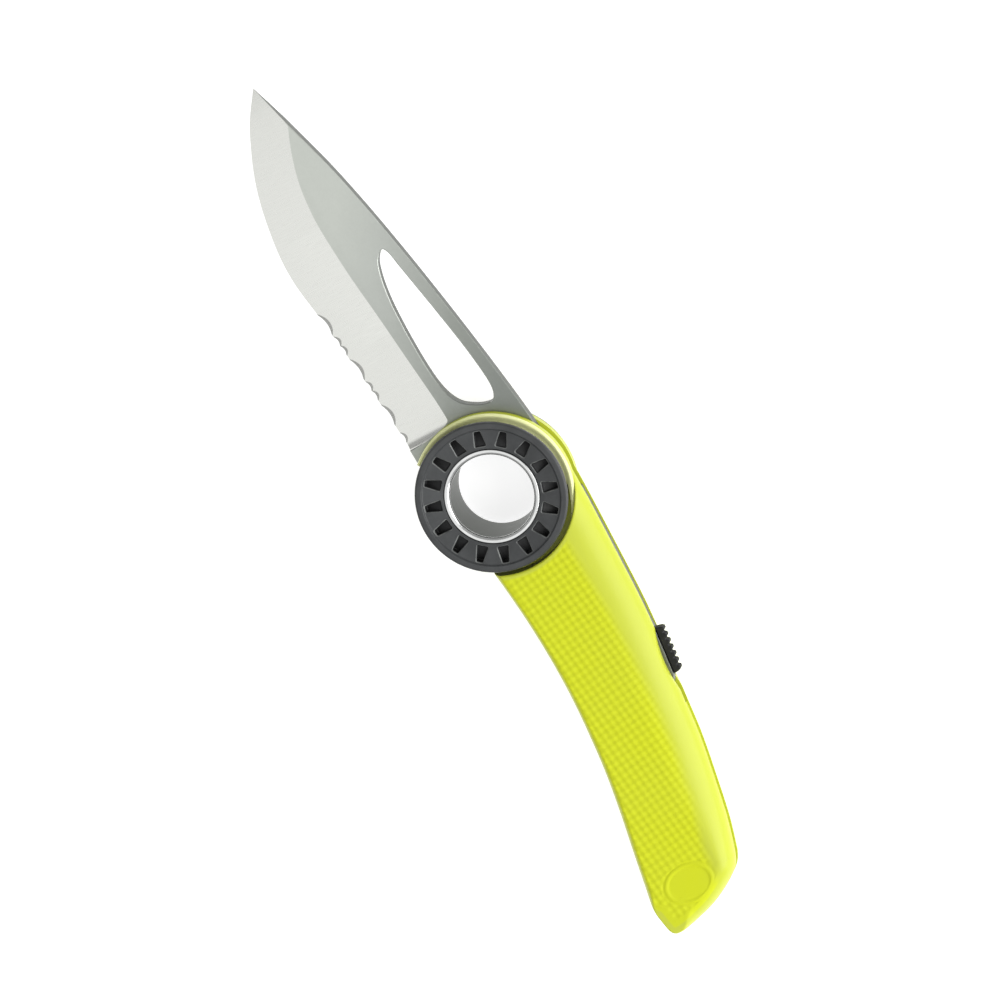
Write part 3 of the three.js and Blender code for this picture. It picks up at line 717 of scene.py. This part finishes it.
def handle_body(spacing):
    """The front half of the handle as a grid over its plan, from the head to the butt."""
    u = shares(int(EVEN_LENGTH / spacing), GRID_LENGTH, "end")
    v = shares(int(EVEN_WIDTH / spacing), GRID_WIDTH, "both")
    spine = at_lengths(spline(HANDLE_SPINE, 400)[::-1], u)
    belly = at_lengths(spline(HANDLE_BELLY, 400), u)
    butt = at_lengths(spline(HANDLE_BUTT, 400)[::-1], v)
    head = at_lengths(np.array([HANDLE_SPINE[-1], HANDLE_BELLY[0]], float), v)
    uu, vv = u[:, None, None], v[None, :, None]
    plan = ((1 - vv) * spine[:, None] + vv * belly[:, None] + (1 - uu) * head[None] + uu * butt[None]
            - (1 - uu) * (1 - vv) * head[0] - (1 - uu) * vv * head[-1]
            - uu * (1 - vv) * butt[0] - uu * vv * butt[-1])
    # a hair smaller, so that the smooth curves stay inside the CAD's faceted outline
    middle = np.array(GRID_MIDDLE)
    plan = middle + (plan - middle) * GRID_SHRINK
    rows, columns = plan.shape[:2]
    flat = plan.reshape(-1, 2)
    height = shell_height(flat).reshape(rows, columns)
    height[:, 0] = height[:, -1] = height[-1] = SLOT_HALF
    top = np.column_stack([flat, height.ravel()])
    index = np.arange(rows * columns).reshape(rows, columns)
    quads = np.stack([index[:-1, :-1], index[1:, :-1], index[1:, 1:], index[:-1, 1:]], -1).reshape(-1, 4)
    rim = np.concatenate([index[0, ::-1], index[1:, 0], index[-1, 1:], index[1:-1, -1][::-1]])
    # the head's end of the grid drops to the floor of the shell, where a point stands under each of its own
    low = rows * columns + np.arange(columns - 2)
    feet = np.column_stack([plan[0, 1:-1], np.full(columns - 2, SLOT_HALF)])
    under = np.concatenate([[index[0, 0]], low, [index[0, -1]]])
    faces = quads.tolist()
    for i in range(columns - 1):
        wall = [int(index[0, i]), int(index[0, i + 1]), int(under[i + 1]), int(under[i])]
        faces.append(list(dict.fromkeys(wall)))
    faces.append([int(k) for k in np.concatenate([under[::-1], rim[columns:]])])
    obj = raw("shell", np.vstack([top, feet]), faces)
    outward(obj)
    return obj


def sector(radius, start, end, outer, steps=40):
    """Part of a ring. Its outer radius may be a function of the angle."""
    inside = np.linspace(start, end, steps)
    outside = inside[::-1]
    reach = outer(outside) if callable(outer) else outer
    return np.vstack([
        np.column_stack([radius * np.cos(inside), radius * np.sin(inside)]),
        np.column_stack([reach * np.cos(outside), reach * np.sin(outside)]),
    ])


def groove_reach(turn):
    """The outer radius of the groove beside the wheel, which runs out to nothing at its spine end."""
    return RECESS_RADIUS - (RECESS_RADIUS - GROOVE_INNER - TOUCH) * smoothstep(turn, GROOVE_FADE, GROOVE_END)


def shell(spacing):
    """The front half of the handle with its head, its groove and the holes for its pins and washer."""
    body = handle_body(spacing)
    cut(body, post(RECESS_RADIUS, HEAD_FLOOR, HANDLE_TOP + 1, sides=192))
    disc = lathe("disc", LIP, 192)
    thumb = sector(THUMB_CUT_RADIUS, *THUMB_CUT, HEAD_RADIUS + 5)
    cut(disc, stack([(thumb, 0.5), (thumb, HANDLE_TOP)]))
    join(body, disc)
    groove = sector(GROOVE_INNER, GROOVE_START, GROOVE_END, groove_reach, 120)
    cut(body, stack([(groove, GROOVE_FLOOR), (groove, HEAD_TOP + 1)]))
    holes = [
        post(HUB_RADIUS + LOOSE, 0, HEAD_TOP + 1, sides=128),
        post(WASHER_OUTER + LOOSE, 0, WASHER_HIGH + FIT, sides=128),
        post(SCOOP[2], 0, HANDLE_TOP + 1, SCOOP[0], SCOOP[1], sides=480),
        post(LEVER_PIN_RADIUS + FIT, 0, LEVER_PIN_HALF + FIT, *LEVER_PIN),
    ]
    holes += [post(SPACER_PIN_RADIUS + FIT, 0, SPACER_PIN_HALF + 2 * FIT, x, y, 24) for x, y in SPACER_PINS]
    cut(body, *holes)
    return body


SPACING = 0.185

front = shell(SPACING)
rear = copy_of(front, "rear_skin")
front.name = "front_skin"
cut(front, post(INSERT_RADIUS + FIT, 0, INSERT_TOP + FIT, *BUTT_SCREW))
cut(rear, post(BUTT_SCREW_SHANK + LOOSE, 0, SCREW_HEAD_FLOOR + FIT, *BUTT_SCREW),
    post(SCREW_HEAD_RADIUS + LOOSE, SCREW_HEAD_FLOOR, HANDLE_TOP + 1.2, *BUTT_SCREW))
mirror_z(rear)
for skin, node in ((front, "front_shell"), (rear, "rear_shell")):
    mesh = skin.data
    middles = np.array([face.center[:] for face in mesh.polygons])
    up = np.abs([face.normal.z for face in mesh.polygons])
    radius = np.hypot(middles[:, 0], middles[:, 1])
    level = np.abs(middles[:, 2])
    turn = np.arctan2(middles[:, 1], middles[:, 0]) % TAU
    groove = (radius < groove_reach(turn) + TOUCH) & (radius > GROOVE_INNER - TOUCH)
    groove &= (turn > GROOVE_START - 0.01) & (turn < GROOVE_END - 0.15)
    # 0 is the nylon, 1 the top of the head's edge, painted pale as a highlight, and 2 the groove beside the
    # wheel, painted black as shade
    choice = np.zeros(len(middles), np.int32)
    # the head's upward faces take the pale nylon as a painted highlight
    choice[(radius < HEAD_RADIUS - TOUCH) & (level > 2) & (up > 0.2)] = 1
    # the groove's floor and walls take the black nylon as painted shade
    choice[groove & (level > GROOVE_FLOOR - 0.4) & (level < HANDLE_TOP - 0.3)] = 2
    corners = np.array([vertex.co[:] for vertex in mesh.vertices])
    share = panel_share(corners[:, :2], TINT_BORDER) * (np.abs(corners[:, 2]) > HEAD_TOP)
    settle(skin, "handle", LIME, "shell_nylon", node)
    mesh.materials.append(LIME_HIGHLIGHT)
    mesh.materials.append(BLACK)
    mesh.polygons.foreach_set("material_index", choice)
    textured = mesh.attributes.new("textured", "FLOAT", "POINT")
    textured.data.foreach_set("value", share.astype(np.float32))

# ------------------------------------------------------------------ thumb wheels

POCKETS, FIRST_POCKET, POCKET_LIP = 16, math.radians(4), 0.18
POCKET_INNER, POCKET_OUTER, POCKET_FLOOR, POCKET_SLOPE = 9.95, 13.1, 5.65, 0.38
POCKET_DEEPEST = 2.6
LIP_TILT = 0.3, 0.93
FACE_INNER, FACE_OUTER = (9.35, 5.85), (13.3, 6.65)
WHEEL_FOOT, WHEEL_WAIST, WHEEL_WAIST_TOP, RIM_INNER = 1.35, 14.05, 6.1, 13.55
DRIVE_PLACES = [(DRIVE_CIRCLE * math.cos(t), DRIVE_CIRCLE * math.sin(t)) for t in np.arange(4) * TAU / 4]


def face_level(points):
    """The height of the wheel's dished face over points of its plan."""
    (r0, z0), (r1, z1) = FACE_INNER, FACE_OUTER
    return z0 + (np.hypot(points[:, 0], points[:, 1]) - r0) * (z1 - z0) / (r1 - r0)


def pocket(angle):
    """One grip pocket: it narrows and deepens towards the rim, with soft lips."""
    inner_half, outer_half = 1.1, 0.62
    plan = soften([(POCKET_INNER, -inner_half, 0.3), (POCKET_OUTER, -outer_half, 0.25),
                   (POCKET_OUTER, outer_half, 0.25), (POCKET_INNER, inner_half, 0.3)])
    small, wide = offset(plan, -POCKET_LIP), offset(plan, POCKET_LIP)

    def depth(points):
        return POCKET_FLOOR - (points[:, 0] - POCKET_INNER) * POCKET_SLOPE

    cutter = stack([(small, depth(small)), (plan, depth(plan) + POCKET_LIP),
                    (plan, face_level(plan) - POCKET_LIP), (wide, face_level(wide)), (wide, WHEEL_TOP + 1)])
    cutter.data.transform(Matrix.Rotation(angle, 4, "Z"))
    return cutter


def wheel():
    """The front wheel: a dished face with pockets, an undercut rim, and a hub that reaches the tang."""
    seat = TUBE_HALF - FLANGE_THICKNESS - FIT
    profile = soften([
        (RING_BORE, WHEEL_FOOT), (HUB_RADIUS, WHEEL_FOOT, 0.15), (HUB_RADIUS, WHEEL_BOTTOM),
        (WHEEL_WAIST, WHEEL_BOTTOM, 0.3), (WHEEL_RADIUS, WHEEL_WAIST_TOP, 0.3),
        (WHEEL_RADIUS, WHEEL_TOP, 0.6), (RIM_INNER, WHEEL_TOP, 0.12),
        (*FACE_OUTER, 0.12), (*FACE_INNER, 0.1), (FACE_INNER[0], seat), (RING_BORE, seat),
    ], 8)
    obj = lathe("wheel", profile, 288)
    cut(obj, *[pocket(FIRST_POCKET + TAU * i / POCKETS) for i in range(POCKETS)],
        *[post(DRIVE_PIN_RADIUS + FIT, 0, DRIVE_PIN_HALF + FIT, x, y, 24) for x, y in DRIVE_PLACES])
    return obj


front_wheel = wheel()
rear_wheel = copy_of(front_wheel, "rear_grip_wheel")
front_wheel.name = "front_grip_wheel"
mirror_z(rear_wheel)
for rotor, node in ((front_wheel, "front_wheel"), (rear_wheel, "rear_wheel")):
    mesh = rotor.data
    middles = np.array([face.center[:] for face in mesh.polygons])
    tilt = np.abs([face.normal.z for face in mesh.polygons])
    radius = np.hypot(middles[:, 0], middles[:, 1])
    sunk = face_level(middles) - np.abs(middles[:, 2])
    inside = (radius > FACE_INNER[0] + 0.2) & (radius < FACE_OUTER[0] + 0.05)
    inside &= (sunk > TOUCH) & (sunk < POCKET_DEEPEST)
    # 0 is the nylon, 1 the inside of a pocket, painted dark as shade, and 2 its lip, painted pale as a
    # highlight
    choice = np.zeros(len(middles), np.int32)
    # the pockets take the darker nylon as painted shade
    choice[inside] = 1
    # the lips take the pale nylon as a painted highlight
    choice[inside & (sunk < POCKET_LIP) & (tilt > LIP_TILT[0]) & (tilt < LIP_TILT[1])] = 2
    settle(rotor, "blade_and_wheels", BLACK, "wheel_nylon", node)
    mesh.materials.append(POCKET_SHADE)
    mesh.materials.append(PAINTED_LIP_HIGHLIGHT)
    mesh.polygons.foreach_set("material_index", choice)

# ------------------------------------------------------------------ pivot tube

FLANGE_LOW = TUBE_HALF - FLANGE_THICKNESS

tube = lathe("hollow_pivot", soften([
    (TUBE_BORE, -TUBE_HALF, 0.12), (TUBE_RADIUS, -TUBE_HALF, 0.1), (TUBE_RADIUS, FLANGE_LOW, 0.1),
    (FLANGE_RADIUS, FLANGE_LOW, 0.1), (FLANGE_RADIUS, TUBE_HALF, 0.15), (TUBE_BORE, TUBE_HALF, 0.9),
], 6), 256)
settle(tube, "blade_and_wheels", TURNED, "polished_steel", "pivot_tube")
tube.data.materials.append(BORE)
# the bore's faces take the darker steel as painted shade
for face in tube.data.polygons:
    where = face.center / MM - PIVOT
    face.material_index = int(math.hypot(where.x, where.y) < TUBE_BORE + TOUCH)
collar = lathe("rear_collar", soften([
    (TUBE_RADIUS + FIT, -TUBE_HALF, 0.06), (FLANGE_RADIUS, -TUBE_HALF, 0.25),
    (FLANGE_RADIUS, -FLANGE_LOW, 0.1), (TUBE_RADIUS + FIT, -FLANGE_LOW, 0.05),
], 6), 256)
settle(collar, "blade_and_wheels", TURNED, "polished_steel", "tube_collar")

# ------------------------------------------------------------------ blade

SPINE_LINE = [
    (1.9, -13.77), (10, -13.35), (20, -12.4), (30, -11.25), (40, -9.95), (50, -8.5), (60, -6.85), (70, -4.85),
    (80, -2.3), (90.2, 0.4),
]
EDGE_LINE = [
    (90.2, 0.4), (85, 4.3), (80, 7.05), (75, 9.3), (70, 10.95), (65, 12.1), (60, 12.95), (56, 13.25),
    (52, 13.15), (46, 12.5), (38, 11.8), (30, 11.2), (22, 10.75), (16, 10.4),
]
GRIND_LINE = [
    (14, 0.9), (20, 0.9), (30, 1.5), (40, 2.1), (50, 2.8), (60, 3.1), (65, 2.8), (70, 2), (75, 0.5),
    (80, -1.6), (85, -4.2), (91, -7.6),
]
WINDOW = [
    (51.2, -5), (48.7, -3), (42, -1.5), (32, -0.9), (23.5, -1.15), (18.8, -2.6), (16.4, -5.4), (15.5, -8.2),
    (16.5, -9.5), (19.5, -9.95), (27, -9.35), (36, -8.15), (46, -6.65), (50.2, -6),
]
BIG_SCALLOPS = {"places": (22.5, 33, 43.5), "half_chord": 2.13, "depth": 0.55}
SMALL_SCALLOPS = {"places": (17.4, 27.2, 29.3, 37.7, 39.8), "half_chord": 0.96, "depth": 0.35}
TOOTH = [(-7.2, -12.4), (-9.4, -10.85)]
EDGE_HALF = 0.05
PLUNGE = (14.6, 16.6)
GRIND_END = 90.8
RUN_OUT = 1.25
SCALLOP_TILT = math.radians(22)
WINDOW_BEVEL = 0.13
OUTSIDE = -18
WALL_TILT, GROUND_TILT = 0.5, 0.02


def turned(points, angle, centre=(0, 0)):
    c, s = math.cos(angle), math.sin(angle)
    x, y = (np.asarray(points, float) - centre).T
    return np.column_stack([c * x - s * y, s * x + c * y]) + centre


def grinding():
    """What the grinder takes off the front, from the grind line to the edge, curving out at the heel."""
    grind, edge = spline(GRIND_LINE, 200), spline(EDGE_LINE, 400)
    start, full = PLUNGE
    tip = EDGE_LINE[0][0]
    stations = np.concatenate([np.linspace(start, full, 14)[:-1], np.linspace(full, GRIND_END, 150)])
    rings = []
    for x in stations:
        grind_y, edge_y = line_at(grind, x), line_at(edge, min(x, tip))
        slope = (BLADE_HALF - EDGE_HALF) / max(edge_y - grind_y, 1)
        share = max(0, (full - x) / (full - start))
        lift = RUN_OUT * (1 - math.sqrt(max(0, 1 - share * share)))
        rings.append([
            (x, grind_y - (3 - BLADE_HALF) / slope, 3 + lift),
            (x, edge_y + 3, EDGE_HALF - 3 * slope + lift),
            (x, edge_y + 3, 3 + lift),
        ])
    return loft("grinding", rings)


def scallop(x, half_chord, depth):
    """A round-nosed grinding wheel's cut into the edge, slanting up to the front face."""
    radius = half_chord**2 / (2 * depth * math.sin(SCALLOP_TILT))
    edge = spline(EDGE_LINE, 400)
    along = np.array([0, math.cos(SCALLOP_TILT), -math.sin(SCALLOP_TILT)])
    up = np.array([0, math.sin(SCALLOP_TILT), math.cos(SCALLOP_TILT)])
    nose = np.array([x, line_at(edge, x) - depth, -EDGE_HALF]) + radius * up
    return bar(radius, nose - 12 * along, nose + 12 * along, 256)


def notch(angle):
    """The cutter for the notch that the sprung tooth drops into, with the blade turned by an angle."""
    (fx, fy), (bx, by) = turned(TOOTH, LEVER_TRAVEL, LEVER_PIN)
    outline = [(fx + LOCK_GAP * 1.4, fy + LOCK_GAP), (bx - LOCK_GAP, by + LOCK_GAP),
               (bx - LOCK_GAP, OUTSIDE), (fx + LOCK_GAP * 3, OUTSIDE)]
    outline = turned(counterclockwise(np.array(outline)), angle)
    return stack([(outline, -2), (outline, 2)])


def blade():
    """The whole blade, from the tang's ring to the tip."""
    (spine_x, spine_y), heel_y = SPINE_LINE[0], EDGE_LINE[-1][1]
    heel, end = math.asin(heel_y / TANG_RADIUS), TAU + math.atan2(spine_y, spine_x)
    turn = np.linspace(heel, end, 160)[:-1]
    tang = np.column_stack([TANG_RADIUS * np.cos(turn), TANG_RADIUS * np.sin(turn)])
    outline = np.vstack([spline(SPINE_LINE, 120), spline(EDGE_LINE, 160)[1:], tang])
    obj = slab(outline, BLADE_HALF, 0.12, "blade_steel")
    hole = counterclockwise(closed_spline(WINDOW, 168))
    wide = offset(hole, WINDOW_BEVEL)
    inset = BLADE_HALF - WINDOW_BEVEL
    cut(obj, stack([(wide, -2), (wide, -BLADE_HALF), (hole, -inset), (hole, inset),
                    (wide, BLADE_HALF), (wide, 2)]))
    front_cut, rear_cut = grinding(), grinding()
    mirror_z(rear_cut)
    teeth = [scallop(x, kind["half_chord"], kind["depth"])
             for kind in (BIG_SCALLOPS, SMALL_SCALLOPS) for x in kind["places"]]
    cut(obj, front_cut, rear_cut, *teeth)
    cut(obj, post(RING_BORE, -2, 2, sides=128), notch(0), notch(-FOLD_ANGLE),
        *[post(DRIVE_PIN_RADIUS + FIT, -2, 2, x, y, 24) for x, y in DRIVE_PLACES])
    return obj


steel = blade()
settle(steel, "blade_and_wheels", BLASTED, "blade_steel", "blade", crease=7)
steel.data.materials.append(GROUND)
steel.data.materials.append(BLADE_WALL_SHADE)
# 0 is the flats, 1 the ground bevels and 2 the walls, which are painted dark as shade
for face in steel.data.polygons:
    x = face.center.x / MM - PIVOT.x
    if abs(face.normal.z) < WALL_TILT:
        face.material_index = 2
    elif x > PLUNGE[0] - 0.05 and face.normal.y > GROUND_TILT:
        face.material_index = 1

# ------------------------------------------------------------------ lever, pad, spring and small parts

TAIL = (-48.2, -11.6), (-37.8, -13.05)
LEVER = [
    (*TOOTH[0], 0.1), (*TOOTH[1], 0.15), (-9.4, -12.5, 0.3), (-12.6, -12.3, 0.5), (-16, -11.2, 1),
    (-22, -10.2, 1.5), (-28.5, -9.1, 1), (-31, -8.7, 1), (-36, -8.7, 1), (-42, -8.85, 0.5),
    (-49.8, -9, 0.3), (-50.4, -9.5, 0.2),
    (-50.2, -10.15, 0.2), (*TAIL[0], 0.5), (*TAIL[1], 0.2), (-37.2, -13.05, 0.2), (-30, -13.75, 2),
    (-20, -14.35, 2), (-10, -14.85, 0.8), (-7.4, -14.9, 0.2), (-6.9, -14.5, 0.2),
]
PAD_FRONT, PAD_REAR = np.array((-38.3, -13.08)), np.array((-47.9, -11.75))
PAD_RIBS, RIB_ROOT, RIB_TOP, RIB_MARGIN = 7, 1.1, 1.6, 0.1


def rivet_bars():
    """Cutters for the rivets' holes, through the lever's tail and the pad."""
    places = []
    for x in PAD_RIVETS:
        y = np.interp(x, *zip(*TAIL))
        places.append(bar(PAD_RIVET_RADIUS + FIT, (x, y - 1, 0), (x, y + 1, 0), 24))
    return places


lever = slab(soften(LEVER), BLADE_HALF, 0.15, "lock_bar")
cut(lever, post(LEVER_PIN_RADIUS + LOOSE, -2, 2, *LEVER_PIN), *rivet_bars())
settle(lever, "lever", LEVER_STEEL, "plain_steel", "lock_lever")

along = PAD_REAR - PAD_FRONT
out = np.array((along[1], -along[0])) / np.linalg.norm(along) * -1
corners = [(*PAD_FRONT, 0.1)]
for rib in range(PAD_RIBS):
    for part, rise in ((0, RIB_ROOT), (0.2, RIB_TOP), (0.6, RIB_TOP), (0.8, RIB_ROOT)):
        place = PAD_FRONT + along * (rib + RIB_MARGIN + part) / (PAD_RIBS + RIB_MARGIN) + out * rise
        corners.append((*place, 0.12))
corners.append((*PAD_REAR, 0.1))
pad = slab(soften(corners), BLADE_HALF, 0.16, "ribbed_pad")
cut(pad, *rivet_bars())
settle(pad, "lever", RUBBER, "pad_rubber", "thumb_pad")

SPRING_LINE = [(-56.2, -8.25), (-53, -8.2), (-48, -8.12), (-42.5, -8.4)]
SPRING_HALF_WIDTH, SPRING_HALF_THICKNESS = 1.1, 0.175

line = spline(SPRING_LINE, 48)
across = (0, SPRING_HALF_THICKNESS)
strip = np.vstack([line - across, (line + across)[::-1]])
spring = slab(strip, SPRING_HALF_WIDTH, 0.05, "leaf_spring")
settle(spring, None, STEEL, "plain_steel", "lock_spring")
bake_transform(spring)

SCREW_EDGE = 0.15
HEAD_OUTSIDE = HANDLE_TOP - SCREW_HEAD_RECESS
head_inside = SCREW_HEAD_FLOOR + FIT
hexagon = circle(SOCKET_RADIUS, *BUTT_SCREW, 6)
head = circle(SCREW_HEAD_RADIUS, *BUTT_SCREW, 96)
rim = circle(SCREW_HEAD_RADIUS - SCREW_EDGE, *BUTT_SCREW, 96)
screw = stack([(rim, -HEAD_OUTSIDE), (head, SCREW_EDGE - HEAD_OUTSIDE), (head, -head_inside)], "socket_screw")
join(screw, post(BUTT_SCREW_SHANK, -head_inside - 0.2, SCREW_TIP, *BUTT_SCREW))
cut(screw, stack([(hexagon, -6), (hexagon, SOCKET_DEPTH - HEAD_OUTSIDE)]))
settle(screw, "handle", STEEL, "plain_steel", "butt_screw")

keep("back_spacer", LIME, 0.15)
for name in ("spacer_pin_1", "spacer_pin_2", "spacer_pin_3", "lever_pin", "pad_rivet_1", "pad_rivet_2",
             "drive_pin_1", "drive_pin_2", "drive_pin_3", "drive_pin_4"):
    keep(name, STEEL, 0.1)
keep("butt_insert", BRASS, 0.1)
keep("front_washer", BRONZE, 0.05)
keep("rear_washer", BRONZE, 0.05)

# ------------------------------------------------------------------ studio

def floor():
    size = 4.0
    corners = [(-size, -size, 0), (size, -size, 0), (size, size, 0), (-size, size, 0)]
    obj = raw("floor", corners, [(0, 1, 2, 3)])
    finish = Finish("white floor", srgb(215, 215, 215), roughness=0.9, emission_strength=0.72)
    finish.shader.inputs["Emission Color"].default_value = (1, 1, 1, 1)
    finish.tint(finish.noise(3, 2), srgb(213, 213, 213), srgb(217, 217, 217))
    obj.data.materials.append(finish.material)


def lamp(name, place, aim, size, power):
    data = bpy.data.lights.new(name, "AREA")
    data.shape = "RECTANGLE"
    data.size, data.size_y = size
    data.energy = power
    obj = bpy.data.objects.new(name, data)
    obj.location = place
    obj.rotation_euler = (Vector(aim) - Vector(place)).to_track_quat("-Z", "Y").to_euler()
    bpy.context.scene.collection.objects.link(obj)


floor()
world = bpy.data.worlds.new("world")
world.use_nodes = True
world.node_tree.nodes["Background"].inputs["Color"].default_value = (1, 1, 1, 1)
world.node_tree.nodes["Background"].inputs["Strength"].default_value = 0.4
bpy.context.scene.world = world
lamp("side_softbox", (-0.5, -0.8, 0.62), (0, 0, 0), (1.1, 1.1), 12.5)
lamp("overhead_softbox", (-0.3, 0.5, 2.3), (0, 0, 0), (2.6, 2.6), 14.0)
bpy.context.scene.view_settings.view_transform = "Standard"
